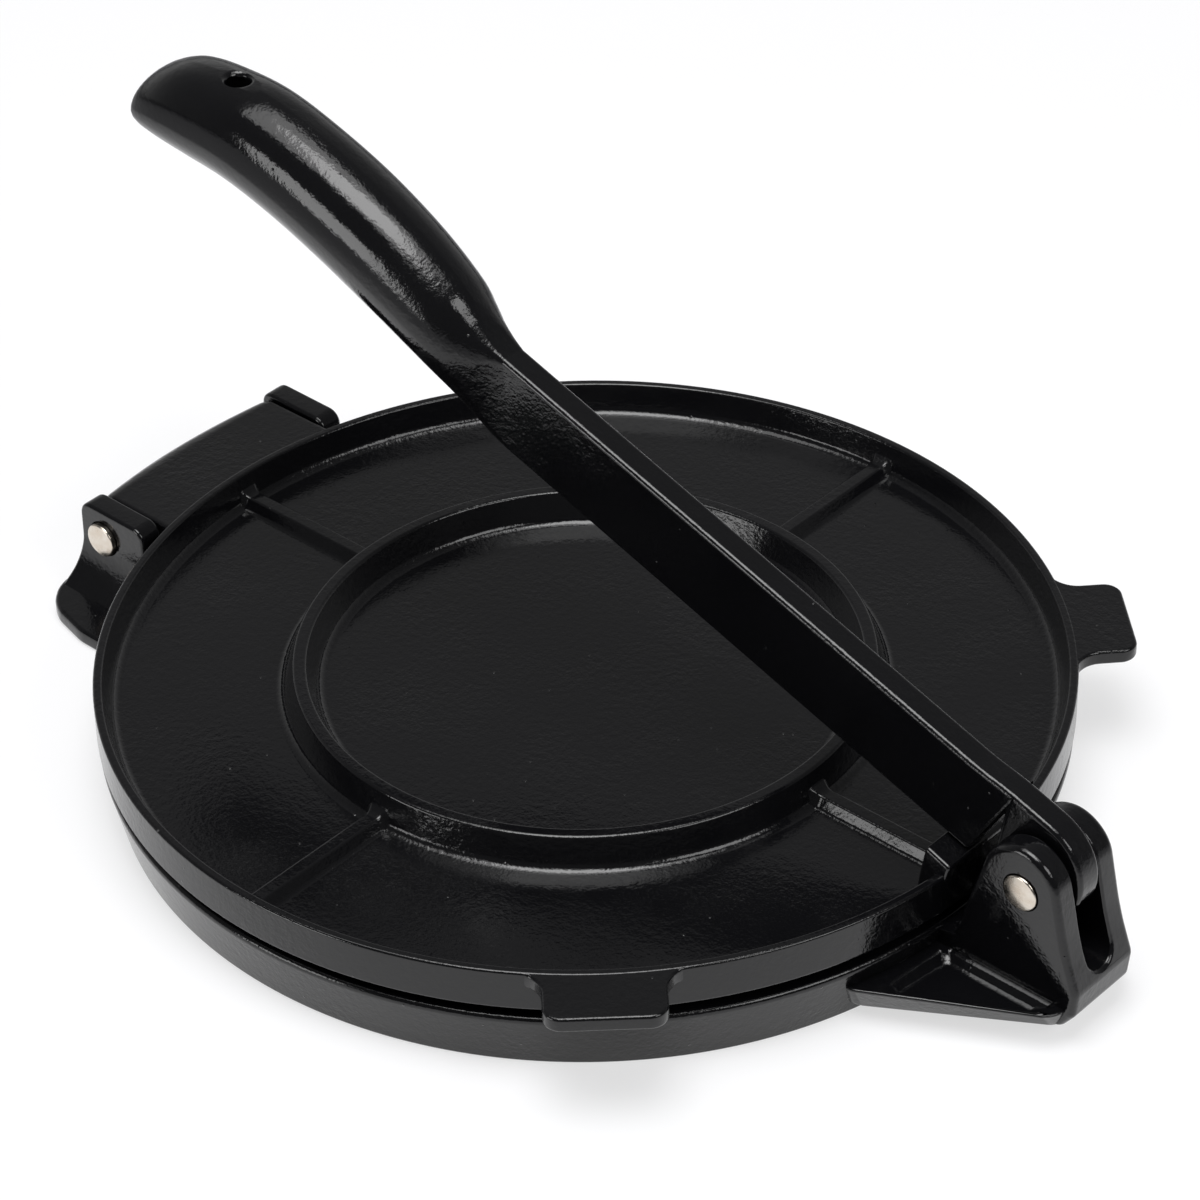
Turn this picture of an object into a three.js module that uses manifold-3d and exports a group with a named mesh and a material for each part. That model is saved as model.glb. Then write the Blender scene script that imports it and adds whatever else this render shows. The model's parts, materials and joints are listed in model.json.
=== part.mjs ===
// Tortilla press for an 8 inch tortilla: two round cast plates, a lever with its handle, and two pins.
// Millimetres, +Z up. The hinge is at -X and the lever's clevis at +X. The plates' axis is x = y = 0
// while the pieces are made, and the finished group is moved along X to centre its box.

import * as THREE from 'three';
import { mergeVertices } from 'three/addons/utils/BufferGeometryUtils.js';
import Module from 'manifold-3d';

const wasm = await Module();
wasm.setup();

// Fits
const touchGap = 0.3;            // left between pieces that touch
const overrun = 1;               // how far a joined or cut shape runs past its face

// Lower plate
const plateRadius = 104;         // outer radius of both plates
const baseHeight = 13.9;
const baseDraft = 3.2;           // the wall leans in by this much towards its foot
const baseWeb = 5;               // thickness under the pressing face
const baseWall = 5;              // rim wall below
const baseRibHeight = 6;         // ring and ribs below the web
const baseRibWidth = 4;
const baseEdge = 1;              // rounding of the pressing face's edge

// Upper plate
const upperHeight = 9.5;
const upperFloor = 2.7;
const rimWidth = 1.9;            // flat top of the rim
const rimRun = 2;                // how far the rim's inner wall leans in
const ringShare = 0.582;         // middle of the ring's flat top, of the plate's radius
const ringRadius = plateRadius * ringShare;
const ringWidth = 2.8;
const ringRun = 2.6;             // how far each side of the ring leans out
const ribWidth = 3;
const ribHeight = 2.5;
const ribRun = 1.8;
const ribCount = 4;
const footRound = 1.6;           // hollow rounding where a wall meets the floor
const openAngle = 0.68;          // degrees that the closed upper plate stands open

// Lifting tabs
const tabAngle = 46.5;           // degrees either side of the clevis
const tabProjection = 12.5;      // beyond the rim
const tabReach = plateRadius + tabProjection;
const tabWidth = 24.5;
const tabThickness = 3.2;
const tabCorner = 3.8;
const tabFillet = 4;

// Hinge
const hingeProjection = 11;      // pin's middle beyond the rim
const hingeReach = plateRadius + hingeProjection;
const hingeRise = 3.4;           // pin's middle above the pressing face
const hingeHeight = baseHeight + hingeRise;
const hingePinRadius = 4;
const hingePinLength = 66.4;
const tongueWidth = 50.8;
const tongueBack = 10.2;         // tongue's reach behind the pin
const tongueBow = 2.6;           // the back edge bows out by this much
const tongueTopRound = 6.4;
const tongueCorner = 1.8;
const earGap = 0.4;              // between the tongue and an ear
const earThickness = 5.7;
const earRise = 7.1;             // top of an ear above the pin
const earBack = 7.3;             // ear's reach behind the pin
const earFront = 12.6;           // and in front of it
const earCorner = 2;
const earTopRound = 3;           // rounding of its top corners
const flangeThickness = 3.8;
const flangeBack = 10.2;         // flange's reach behind the pin
const flangeHalfWidth = 37;      // at its back edge
const flangeSideBack = 5;        // its side corner behind the pin
const flangeSideWidth = 43.8;
const flangeRootFront = 6.5;     // its root corner in front of the pin
const flangeRootWidth = 46.6;      // where it meets the plate
const flangeCorner = 7;
const earFootHeight = 9.5;       // where the flare under an ear ends
const earFootFlare = 5.5;

// Clevis
const clevisProjection = 17.9;   // lever pin's middle beyond the rim
const clevisReach = plateRadius + clevisProjection;
const leverPinRise = 18.6;       // its middle above the pressing face
const leverPinHeight = baseHeight + leverPinRise;
const leverPinRadius = 4;
const leverPinLength = 21.4;
const clevisSlot = 8;
const clevisEar = 5.7;
const clevisHeadRadius = 9.2;    // round top of an ear
const clevisHeadRise = 1;        // its centre above the pin
const clevisHeadSetback = 0.5;   // and towards the plates
const clevisHeadSweep = 158;     // degrees from its outer side to where it runs down to the plate
const clevisSlotDepth = 0.6;     // slot's floor below the pressing face
const clevisSlotFloor = baseHeight - clevisSlotDepth;
const clevisHeadStart = 13;      // degrees above level where its outer side meets the round top
const clevisToe = 14.9;          // outermost point beyond the pin
const clevisToeDrop = 0.5;       // below the pressing face
const clevisToeHeight = baseHeight - clevisToeDrop;
const clevisToeRound = 2;
const clevisWaist = 11.3;        // where the outer edge begins to flare
const clevisWaistRise = 8.6;
const clevisWaistHeight = baseHeight + clevisWaistRise;
const clevisBottom = 10.9;       // reach at the bottom of the foot
const clevisRoot = 2.2;          // inner edge beyond the rim, where it meets the plate
const clevisEdge = 1.4;          // rounding of its edges
const clevisCorner = 2.4;        // upright corners of the outer end
const clevisToeReach = clevisReach + clevisToe;
const clevisWaistReach = clevisReach + clevisWaist;
const clevisBottomReach = clevisReach + clevisBottom;
const clevisRootReach = plateRadius + clevisRoot;

// Clevis foot
const footBottom = 3.2;          // above the table
const footDrop = 4.9;            // its top below the pressing face
const footTop = baseHeight - footDrop;
const footRootInset = 5.5;       // its widest place, inside the rim
const footRootReach = plateRadius - footRootInset;
const footRootWidth = 32.8;      // half width there
const footTipWidth = 13;         // half width at the outer end
const footTipProjection = 1.4;    // its top's reach beyond its bottom's
const footTipReach = clevisBottomReach + footTipProjection;
const footRootDraft = 2.4;       // how much narrower its bottom is at the root
const footTipDraft = 4.2;
const footCorner = 4.5;
const pocketDepth = 1.8;
const pocketFloor = footTop - pocketDepth;
const pocketRound = 1.4;
const pocketLean = 1.8;          // how far its walls lean in to the floor
const pocketSide = 10.3;         // its inner side from the middle
const pocketStart = 0.9;         // its inner corner beyond the rim
const pocketRootInset = 0.8;     // its widest corner inside the rim
const pocketRootWidth = 28.6;
const pocketTipWidth = 12.8;
const pocketTipInset = 2.2;      // its tip from the foot's end

// Lever bar
const leverAngle = 18.5;         // degrees above level when the press is closed
const leverThickness = 6.4;
const barTop = 11.9;             // edges of the bar either side of the pin's line
const barBottom = 9;
const barLength = 156;
const humpRise = 12.6;           // top of the bar's rise over the pin
const humpEnd = 16;
const humpRound = 12.4;          // rounding of its outer end
const bossRadius = 9.4;
const bossCorner = 0.5;          // the outer end's corner below the pin's line
const bossCutAngle = 245;        // where the cut below that corner meets the boss
const heelReach = 16;            // corner that presses on the nose
const notchTopReach = 12.6;
const notchTopRise = 6.6;
const notchRound = 1;
const notchBottomReach = 11;
const panelBorder = 3;
const panelDepth = 0.9;
const panelStart = 27;
const panelEnd = 141;
const panelRound = 3;

// Handle
const handleStart = 146;         // along the bar from the pin
const handleLength = 112.5;
const handleRise = 10.6;         // its middle rises this far above the bar's
const handleDepth = 25.2;
const handleWidth = 22.6;
const handleRoundness = 0.94;    // exponent of the section's curve, 1 for an ellipse
const keelShare = 0.34;          // how much narrower the underside is
const hangingHoleReach = 236;
const hangingHoleShare = 0.7;    // the same place, of the way along the handle
const hangingHoleRadius = 2.6;
const hangingHoleLip = 4;
const hangingHoleLipDepth = 1.2;

// Nose that the lever presses on
const noseWidth = 20;            // at the rim
const noseTopWidth = 14;
const noseInset = 7.6;           // its inner foot, inside the rim's outer edge
const noseTopInset = 6;
const noseOverhang = 0.4;
const noseInner = plateRadius - noseInset;
const noseTopInner = plateRadius - noseTopInset;
const noseOuter = plateRadius + noseOverhang;
const noseCorner = 1.4;

// Steps of the curves
const plateSteps = 80;
const pinSteps = 28;
const arcSteps = 3;
const headSteps = 10;
const handleSteps = 18;
const handleSides = 16;

const quarterTurn = Math.PI / 2;
const radians = THREE.MathUtils.degToRad;

// Corners are [x, y] or [x, y, radius], and a corner with a radius is turned by an arc.
function outline(corners) {
  const points = [];
  corners.forEach(([x, y, radius = 0], index) => {
    const corner = new THREE.Vector2(x, y);
    if (radius === 0) {
      points.push(corner);
      return;
    }
    const last = corners.at(index - 1);
    const next = corners[(index + 1) % corners.length];
    const back = new THREE.Vector2(last[0], last[1]).sub(corner).normalize();
    const ahead = new THREE.Vector2(next[0], next[1]).sub(corner).normalize();
    const half = Math.acos(THREE.MathUtils.clamp(back.dot(ahead), -1, 1)) / 2;
    const middle = back.clone().add(ahead).normalize();
    const centre = corner.clone().addScaledVector(middle, radius / Math.sin(half));
    const from = corner.clone().addScaledVector(back, radius / Math.tan(half)).sub(centre);
    const to = corner.clone().addScaledVector(ahead, radius / Math.tan(half)).sub(centre);
    const sweep = Math.atan2(from.cross(to), from.dot(to));
    for (let step = 0; step <= arcSteps; step += 1) {
      const turned = from.clone().rotateAround(new THREE.Vector2(), sweep * step / arcSteps);
      points.push(turned.add(centre));
    }
  });
  return points;
}

// Points of a circle's arc, from one angle in degrees to another.
function arc(x, y, radius, start, end, steps) {
  return Array.from({ length: steps + 1 }, (_, step) => {
    const angle = radians(start + (end - start) * step / steps);
    return [x + radius * Math.cos(angle), y + radius * Math.sin(angle)];
  });
}

// A closed geometry as a solid for joining and cutting.
function solid(geometry) {
  geometry.deleteAttribute('normal');
  geometry.deleteAttribute('uv');
  const merged = mergeVertices(geometry);
  const corners = merged.index.array;
  const triangles = [];
  for (let first = 0; first < corners.length; first += 3) {
    const [a, b, c] = corners.slice(first, first + 3);
    if (a !== b && b !== c && c !== a) {
      triangles.push(a, b, c);
    }
  }
  return new wasm.Manifold(new wasm.Mesh({
    numProp: 3,
    vertProperties: new Float32Array(merged.attributes.position.array),
    triVerts: new Uint32Array(triangles),
  }));
}

// A solid of revolution about Z from a profile of [radius, height] corners.
function turned(corners, steps = plateSteps) {
  const geometry = new THREE.LatheGeometry(outline(corners), steps);
  return solid(geometry.rotateX(quarterTurn));
}

// A plan outline raised from one height by a thickness.
function raised(points, bottom, height) {
  const shape = new THREE.Shape(points);
  const geometry = new THREE.ExtrudeGeometry(shape, { depth: height, bevelEnabled: false });
  return solid(geometry.translate(0, 0, bottom));
}

// A side outline in X and Z, as wide as given, centred on the given Y.
function across(points, width, middle = 0) {
  const shape = new THREE.Shape(points);
  const geometry = new THREE.ExtrudeGeometry(shape, { depth: width, bevelEnabled: false });
  return solid(geometry.rotateX(quarterTurn).translate(0, middle + width / 2, 0));
}

// A front outline in Y and Z, drawn out along X between two places.
function along(points, start, end) {
  const shape = new THREE.Shape(points);
  const geometry = new THREE.ExtrudeGeometry(shape, { depth: end - start, bevelEnabled: false });
  const toFront = new THREE.Matrix4().makeBasis(
    new THREE.Vector3(0, 1, 0),
    new THREE.Vector3(0, 0, 1),
    new THREE.Vector3(1, 0, 0),
  );
  return solid(geometry.applyMatrix4(toFront).translate(start, 0, 0));
}

// A round bar along Y.
function crossPin(x, z, radius, length) {
  const geometry = new THREE.CylinderGeometry(radius, radius, length, pinSteps);
  return solid(geometry.translate(x, 0, z));
}

// Rings of points skinned into one closed solid, with a fan over each end.
function skinned(rings) {
  const sides = rings[0].length;
  const points = rings.flat();
  const triangles = [];
  for (let ring = 0; ring < rings.length - 1; ring += 1) {
    for (let side = 0; side < sides; side += 1) {
      const a = ring * sides + side;
      const b = ring * sides + (side + 1) % sides;
      triangles.push(a, b, b + sides, a, b + sides, a + sides);
    }
  }
  const ends = [[rings[0], 0, true], [rings.at(-1), points.length - sides, false]];
  ends.forEach(([ring, offset, first]) => {
    const middle = new THREE.Vector3();
    ring.forEach((point) => middle.addScaledVector(point, 1 / sides));
    points.push(middle);
    for (let side = 0; side < sides; side += 1) {
      const a = offset + side;
      const b = offset + (side + 1) % sides;
      triangles.push(points.length - 1, first ? b : a, first ? a : b);
    }
  });
  const geometry = new THREE.BufferGeometry().setFromPoints(points);
  geometry.setIndex(triangles);
  return solid(geometry);
}

function mirroredY(shape) {
  return shape.add(shape.mirror([0, 1, 0]));
}

function joined(shapes) {
  return shapes.reduce((whole, shape) => whole.add(shape));
}

// The same shape at even steps round the plates' axis.
function aroundAxis(shape, count) {
  const copies = Array.from({ length: count }, (_, index) => shape.rotate([0, 0, index * 360 / count]));
  return joined(copies);
}

// A tapered bar on a floor, pointing along X.
function rib(start, end, floor, height, width, run) {
  const half = width / 2;
  const foot = half + run * (height + overrun) / height;
  return along([
    new THREE.Vector2(-foot, floor - overrun),
    new THREE.Vector2(foot, floor - overrun),
    new THREE.Vector2(half, floor + height),
    new THREE.Vector2(-half, floor + height),
  ], start, end);
}

// Lower plate: pressing face above, rim wall, ring and ribs below.
function makeBasePlate() {
  const webBottom = baseHeight - baseWeb;
  const ribBottom = webBottom - baseRibHeight;
  const wallInner = plateRadius - baseDraft - baseWall;
  const ringInner = ringRadius - baseRibWidth / 2;
  const ringOuter = ringRadius + baseRibWidth / 2;
  const plate = turned([
    [0, webBottom],
    [ringInner, webBottom],
    [ringInner, ribBottom],
    [ringOuter, ribBottom],
    [ringOuter, webBottom],
    [wallInner, webBottom, footRound],
    [wallInner, 0],
    [plateRadius - baseDraft, 0],
    [plateRadius, baseHeight, baseEdge],
    [0, baseHeight],
  ]);
  const half = baseRibWidth / 2;
  const ribTop = webBottom + overrun;
  const ribFront = [[-half, ribBottom], [half, ribBottom], [half, ribTop], [-half, ribTop]];
  const bar = along(outline(ribFront), ringRadius, wallInner + overrun);
  return plate.add(aroundAxis(bar, ribCount));
}

// The part of the plates' plan that lies inside a radius, for trimming what joins the wall.
function disc(radius, bottom, top) {
  return turned([[0, bottom], [radius, bottom], [radius, top], [0, top]]);
}

// Hinge ears with their flared feet, on a low flange that runs into the plate's wall.
function makeHingeFlange() {
  const inside = -plateRadius + baseDraft + baseWall;
  const back = -hingeReach - flangeBack;
  const flange = raised(outline([
    [inside, -flangeRootWidth],
    [inside, flangeRootWidth],
    [-hingeReach + flangeRootFront, flangeRootWidth, flangeCorner],
    [-hingeReach - flangeSideBack, flangeSideWidth, flangeCorner],
    [back, flangeHalfWidth, flangeCorner],
    [back, -flangeHalfWidth, flangeCorner],
    [-hingeReach - flangeSideBack, -flangeSideWidth, flangeCorner],
    [-hingeReach + flangeRootFront, -flangeRootWidth, flangeCorner],
  ]), 0, flangeThickness);
  const earBackFoot = -hingeReach - earBack;
  const side = across(outline([
    [inside, 0],
    [inside, baseHeight - overrun],
    [-hingeReach + earFront, baseHeight - overrun],
    [-hingeReach + earFront, hingeHeight + earRise, earTopRound],
    [earBackFoot, hingeHeight + earRise, earTopRound],
    [earBackFoot, earFootHeight, earFootFlare],
    [back + earCorner, flangeThickness],
    [back + earCorner, 0],
  ]), 2 * flangeSideWidth);
  const earInner = tongueWidth / 2 + earGap;
  const earOuter = earInner + earThickness;
  const front = along(outline([
    [earInner, 0],
    [earOuter + earFootFlare, 0],
    [earOuter + earFootFlare, flangeThickness],
    [earOuter, earFootHeight, earFootFlare],
    [earOuter, hingeHeight + earRise, earCorner],
    [earInner, hingeHeight + earRise],
  ]), back, inside);
  return flange.add(side.intersect(mirroredY(front)));
}

// Clevis: two ears for the lever pin over a block that ends in a flared toe.
function makeClevis() {
  const headX = clevisReach - clevisHeadSetback;
  const headZ = leverPinHeight + clevisHeadRise;
  const inside = plateRadius - baseDraft - baseWall;
  const half = clevisSlot / 2 + clevisEar;
  const top = headZ + clevisHeadRadius + overrun;
  const side = across(outline([
    [inside, footBottom],
    [clevisBottomReach, footBottom, clevisEdge],
    [clevisToeReach, clevisToeHeight, clevisToeRound],
    [clevisWaistReach, clevisWaistHeight, clevisHeadRadius],
    ...arc(headX, headZ, clevisHeadRadius, clevisHeadStart, clevisHeadSweep, headSteps),
    [clevisRootReach, baseHeight, clevisEdge],
    [inside, baseHeight - overrun],
  ]), 2 * half);
  const plan = raised(outline([
    [inside, -half],
    [clevisToeReach, -half, clevisCorner],
    [clevisToeReach, half, clevisCorner],
    [inside, half],
  ]), 0, top);
  const slot = across(outline([
    [clevisRootReach - clevisSlot, clevisSlotFloor + clevisSlot],
    [clevisRootReach - clevisSlot, baseHeight + touchGap],
    [clevisRootReach, clevisSlotFloor, clevisEdge],
    [clevisToeReach + overrun, clevisSlotFloor],
    [clevisToeReach + overrun, top],
    [clevisRootReach - clevisSlot, top],
  ]), clevisSlot);
  return side.intersect(plan).subtract(slot);
}

// Corners given in plan for two heights, skinned into one solid.
function drafted(bottomCorners, bottom, topCorners, top) {
  const ring = (corners, height) => outline(corners).map(({ x, y }) => new THREE.Vector3(x, y, height));
  return skinned([ring(bottomCorners, bottom), ring(topCorners, top)]);
}

// Wedge round the clevis's lower end, with a sunk pocket on each side.
function makeClevisFoot() {
  const inside = plateRadius - baseDraft - baseWall;
  const plan = (rootWidth, tipReach, tipWidth) => [
    [inside, -rootWidth],
    [footRootReach, -rootWidth, footCorner],
    [tipReach, -tipWidth, footCorner],
    [tipReach, tipWidth, footCorner],
    [footRootReach, rootWidth, footCorner],
    [inside, rootWidth],
  ];
  const bottomPlan = plan(footRootWidth - footRootDraft, clevisBottomReach, footTipWidth - footTipDraft);
  const topPlan = plan(footRootWidth, footTipReach, footTipWidth);
  const tip = footTipReach - pocketTipInset;
  const slope = (pocketRootWidth - pocketTipWidth) / (tip - plateRadius + pocketRootInset);
  const pocketPlan = (lean) => [
    [plateRadius + pocketStart + lean, pocketSide + lean, pocketRound],
    [tip - 2 * lean, pocketSide + lean, pocketRound / 2],
    [tip - 2 * lean, pocketTipWidth + (2 * slope - 1 / 2) * lean, pocketRound / 2],
    [plateRadius - pocketRootInset + lean, pocketRootWidth - (slope + 1 / 2) * lean, pocketRound],
  ];
  const overLean = -pocketLean * overrun / (footTop - pocketFloor);
  const pocket = drafted(pocketPlan(pocketLean), pocketFloor, pocketPlan(overLean), footTop + overrun);
  return drafted(bottomPlan, footBottom, topPlan, footTop).subtract(mirroredY(pocket));
}

function makeLowerPlate() {
  const room = disc(plateRadius - baseDraft - baseWall + overrun, -overrun, baseHeight - baseWeb);
  const outside = joined([makeHingeFlange(), makeClevis(), makeClevisFoot()]).subtract(room);
  const holes = [
    crossPin(-hingeReach, hingeHeight, hingePinRadius + touchGap, 2 * hingePinLength),
    crossPin(clevisReach, leverPinHeight, leverPinRadius + touchGap, 2 * leverPinLength),
  ];
  const swing = disc(plateRadius + touchGap, baseHeight, baseHeight + upperHeight + overrun);
  return makeBasePlate().add(outside.subtract(swing)).subtract(joined(holes));
}

// Upper plate as closed flat: shallow pan with a ring and four ribs.
function makePan() {
  const face = baseHeight + touchGap;
  const top = face + upperHeight;
  const floor = face + upperFloor;
  const rimInner = plateRadius - rimWidth;
  const half = ringWidth / 2;
  return turned([
    [0, face],
    [plateRadius, face],
    [plateRadius, top],
    [rimInner, top],
    [rimInner - rimRun, floor, footRound],
    [ringRadius + half + ringRun, floor, footRound],
    [ringRadius + half, top],
    [ringRadius - half, top],
    [ringRadius - half - ringRun, floor, footRound],
    [0, floor],
  ]);
}

function makeTab() {
  const half = tabWidth / 2;
  const top = baseHeight + touchGap + upperHeight;
  const atRim = (y) => Math.sqrt(plateRadius ** 2 - y ** 2);
  const root = half + tabFillet + tabCorner;
  const plan = outline([
    [plateRadius - baseWall - tabCorner, -root],
    [atRim(root), -root],
    [atRim(half), -half, tabFillet],
    [tabReach, -half, tabCorner],
    [tabReach, half, tabCorner],
    [atRim(half), half, tabFillet],
    [atRim(root), root],
    [plateRadius - baseWall - tabCorner, root],
  ]);
  const tab = raised(plan, top - tabThickness, tabThickness);
  const wallMiddle = plateRadius - rimWidth / 2;
  return tab.subtract(disc(wallMiddle, baseHeight, top + overrun));
}

// Places of the tongue's sections, as shares of its half width.
const tongueShares = [1, 0.98, 0.95, 0.92, 0.6, 0.3, 0, -0.3, -0.6, -0.92, -0.95, -0.98, -1];

// Tongue between the ears: flat above, round about the pin below, bowed along its back edge.
function makeTongue() {
  const face = baseHeight + touchGap;
  const top = face + upperHeight;
  const inside = -plateRadius + rimWidth / 2 + tongueBow;
  const frontAngle = THREE.MathUtils.radToDeg(Math.asin((face - hingeHeight) / tongueBack));
  const profile = outline([
    [inside, face],
    [inside, top],
    [-hingeReach - tongueBack, top, tongueTopRound],
    ...arc(-hingeReach, hingeHeight, tongueBack, 180, 360 + frontAngle, headSteps),
  ]);
  const half = tongueWidth / 2;
  const sections = tongueShares.map((share) => {
    const pastCorner = Math.max(0, Math.abs(share) * half - half + tongueCorner);
    const inset = tongueBow * share ** 2 + tongueCorner - Math.sqrt(tongueCorner ** 2 - pastCorner ** 2);
    const backShare = 1 - inset / tongueBack;
    return profile.map(({ x, y: z }) => {
      const fromPin = x + hingeReach;
      return new THREE.Vector3(fromPin < 0 ? fromPin * backShare - hingeReach : x, share * half, z);
    });
  });
  return skinned(sections).subtract(disc(plateRadius - rimWidth / 2, 0, top + overrun));
}

// Block on the rim that stands just under the lever's heel, made where it lies when closed.
function makeNose() {
  const slope = Math.tan(radians(leverAngle));
  const drop = barBottom / Math.cos(radians(leverAngle)) + touchGap;
  const topAt = (x) => leverPinHeight - drop + (clevisReach - x) * slope;
  const foot = baseHeight + upperFloor;
  const rimTop = baseHeight + upperHeight;
  const side = across(outline([
    [noseInner, foot],
    [noseOuter - rimWidth, foot],
    [noseOuter - rimWidth / 2, rimTop],
    [noseOuter, topAt(noseOuter), noseCorner / 2],
    [noseTopInner, topAt(noseTopInner), noseCorner],
  ]), noseWidth);
  const half = noseWidth / 2;
  const topHalf = noseTopWidth / 2;
  const front = along(outline([
    [-half, foot],
    [half, foot],
    [half, rimTop],
    [topHalf, topAt(noseTopInner), noseCorner],
    [-topHalf, topAt(noseTopInner), noseCorner],
    [-half, rimTop],
  ]), noseInner - overrun, noseOuter + overrun);
  return side.intersect(front);
}

function turnedAboutHinge(shape, degrees) {
  return shape
    .translate([hingeReach, 0, -hingeHeight])
    .rotate([0, -degrees, 0])
    .translate([-hingeReach, 0, hingeHeight]);
}

function makeUpperPlate() {
  const floor = baseHeight + touchGap + upperFloor;
  const ribBar = rib(ringRadius, plateRadius - rimWidth, floor, ribHeight, ribWidth, ribRun);
  const tab = makeTab();
  const pan = joined([
    makePan(),
    aroundAxis(ribBar, ribCount),
    tab.rotate([0, 0, tabAngle]),
    tab.rotate([0, 0, -tabAngle]),
    makeTongue(),
  ]);
  const bore = crossPin(-hingeReach, hingeHeight, hingePinRadius + touchGap, 2 * tongueWidth);
  return turnedAboutHinge(pan.subtract(bore), openAngle).add(makeNose());
}

// Lever in its own plane: first coordinate along the bar from the pin, second above the pin's line.
const barDirection = new THREE.Vector3(-Math.cos(radians(leverAngle)), 0, Math.sin(radians(leverAngle)));
const barUp = new THREE.Vector3(Math.sin(radians(leverAngle)), 0, Math.cos(radians(leverAngle)));
const leverFrame = new THREE.Matrix4()
  .makeBasis(barDirection, barUp, new THREE.Vector3(0, 1, 0))
  .setPosition(clevisReach, 0, leverPinHeight);

function inLeverPlane(points, width, middle = 0) {
  const shape = new THREE.Shape(points);
  const geometry = new THREE.ExtrudeGeometry(shape, { depth: width, bevelEnabled: false });
  return solid(geometry.translate(0, 0, middle - width / 2).applyMatrix4(leverFrame));
}

function makeBar() {
  const bar = inLeverPlane(outline([
    [heelReach, -barBottom, notchRound / 2],
    [barLength, -barBottom],
    [barLength, barTop],
    [humpEnd + barTop - barBottom, barTop, bossRadius],
    [humpEnd - barTop + barBottom, humpRise, bossRadius],
    [-bossRadius, humpRise, humpRound],
    [-bossRadius, -bossCorner],
    ...arc(0, 0, bossRadius, bossCutAngle, 270 + leverAngle, headSteps),
    [notchBottomReach, -bossRadius / 2, notchRound],
    [notchTopReach, notchTopRise, notchRound],
  ]), leverThickness);
  const panel = outline([
    [panelStart, panelBorder - barBottom, panelRound],
    [panelEnd, panelBorder - barBottom, panelRound],
    [panelEnd, barTop - panelBorder, panelRound],
    [panelStart, barTop - panelBorder, panelRound],
  ]);
  const face = leverThickness / 2;
  return bar
    .subtract(inLeverPlane(panel, 2 * panelDepth, face))
    .subtract(inLeverPlane(panel, 2 * panelDepth, -face));
}

// Stations of the handle, each as shares of its length, rise, depth and width.
const handleShares = [
  [0, 0, 0.7, 0.28],
  [0.06, 0.08, 0.79, 0.4],
  [0.12, 0.25, 0.87, 0.68],
  [0.2, 0.5, 0.94, 0.86],
  [0.32, 0.78, 0.99, 0.96],
  [0.46, 0.97, 1, 1],
  [0.6, 1, 1, 1],
  [0.73, 0.88, 0.99, 1],
  [0.84, 0.64, 0.95, 0.97],
  [0.92, 0.36, 0.86, 0.92],
  [0.97, 0.1, 0.68, 0.8],
  [0.992, -0.05, 0.46, 0.6],
  [1, -0.12, 0.24, 0.34],
];

function makeHandle() {
  const middleLine = (barTop - barBottom) / 2;
  const route = new THREE.CatmullRomCurve3(handleShares.map(([length, rise]) => (
    new THREE.Vector3(handleStart + handleLength * length, middleLine + handleRise * rise, 0)
  )));
  const size = new THREE.CatmullRomCurve3(handleShares.map(([, , depth, width]) => (
    new THREE.Vector3(handleDepth / 2 * depth, handleWidth / 2 * width, 0)
  )));
  const curved = (value) => Math.sign(value) * Math.abs(value) ** handleRoundness;
  const rings = Array.from({ length: handleSteps + 1 }, (_, step) => {
    const centre = route.getPoint(step / handleSteps);
    const half = size.getPoint(step / handleSteps);
    return Array.from({ length: handleSides }, (__, side) => {
      const angle = 2 * Math.PI * side / handleSides;
      const keel = 1 - keelShare * Math.max(0, -Math.cos(angle)) ** 2;
      const up = half.x * curved(Math.cos(angle));
      const out = half.y * curved(Math.sin(angle)) * keel;
      return new THREE.Vector3(centre.x, centre.y + up, out);
    });
  });
  const handle = skinned(rings.map((ring) => ring.map((point) => point.applyMatrix4(leverFrame))));
  const hole = (radius, start, end) => {
    const drill = new THREE.CylinderGeometry(radius, radius, end - start, pinSteps);
    return solid(drill.translate(hangingHoleReach, (start + end) / 2, 0).applyMatrix4(leverFrame));
  };
  const top = middleLine + handleRise + handleDepth / 2;
  const station = route.getPoint(hangingHoleShare);
  const lipFloor = station.y + handleDepth / 2 - hangingHoleLipDepth;
  return handle
    .subtract(hole(hangingHoleRadius, -handleDepth, top + overrun))
    .subtract(hole(hangingHoleLip, lipFloor, top + overrun));
}

function makeLever() {
  const bore = crossPin(clevisReach, leverPinHeight, leverPinRadius + touchGap, 2 * leverThickness);
  return makeBar().add(makeHandle()).subtract(bore);
}

// A finished piece as a named mesh.
function piece(name, shape, material) {
  const { vertProperties, triVerts } = shape.getMesh();
  const geometry = new THREE.BufferGeometry();
  geometry.setAttribute('position', new THREE.BufferAttribute(new Float32Array(vertProperties), 3));
  geometry.setIndex(new THREE.BufferAttribute(new Uint32Array(triVerts), 1));
  geometry.computeVertexNormals();
  const mesh = new THREE.Mesh(geometry, material);
  mesh.name = name;
  return mesh;
}

const enamel = new THREE.MeshStandardMaterial({ color: 0x1c1c1e, roughness: 0.3, metalness: 0 });
const nickel = new THREE.MeshStandardMaterial({ color: 0xd9d6d0, roughness: 0.2, metalness: 1 });

const press = new THREE.Group();
press.add(
  piece('lower_plate', makeLowerPlate(), enamel),
  piece('upper_plate', makeUpperPlate(), enamel),
  piece('lever', makeLever(), enamel),
  piece('hinge_pin', crossPin(-hingeReach, hingeHeight, hingePinRadius, hingePinLength), nickel),
  piece('lever_pin', crossPin(clevisReach, leverPinHeight, leverPinRadius, leverPinLength), nickel),
);

const box = new THREE.Box3().setFromObject(press);
press.position.x = -(box.min.x + box.max.x) / 2;

export default press;
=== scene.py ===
import math

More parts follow.
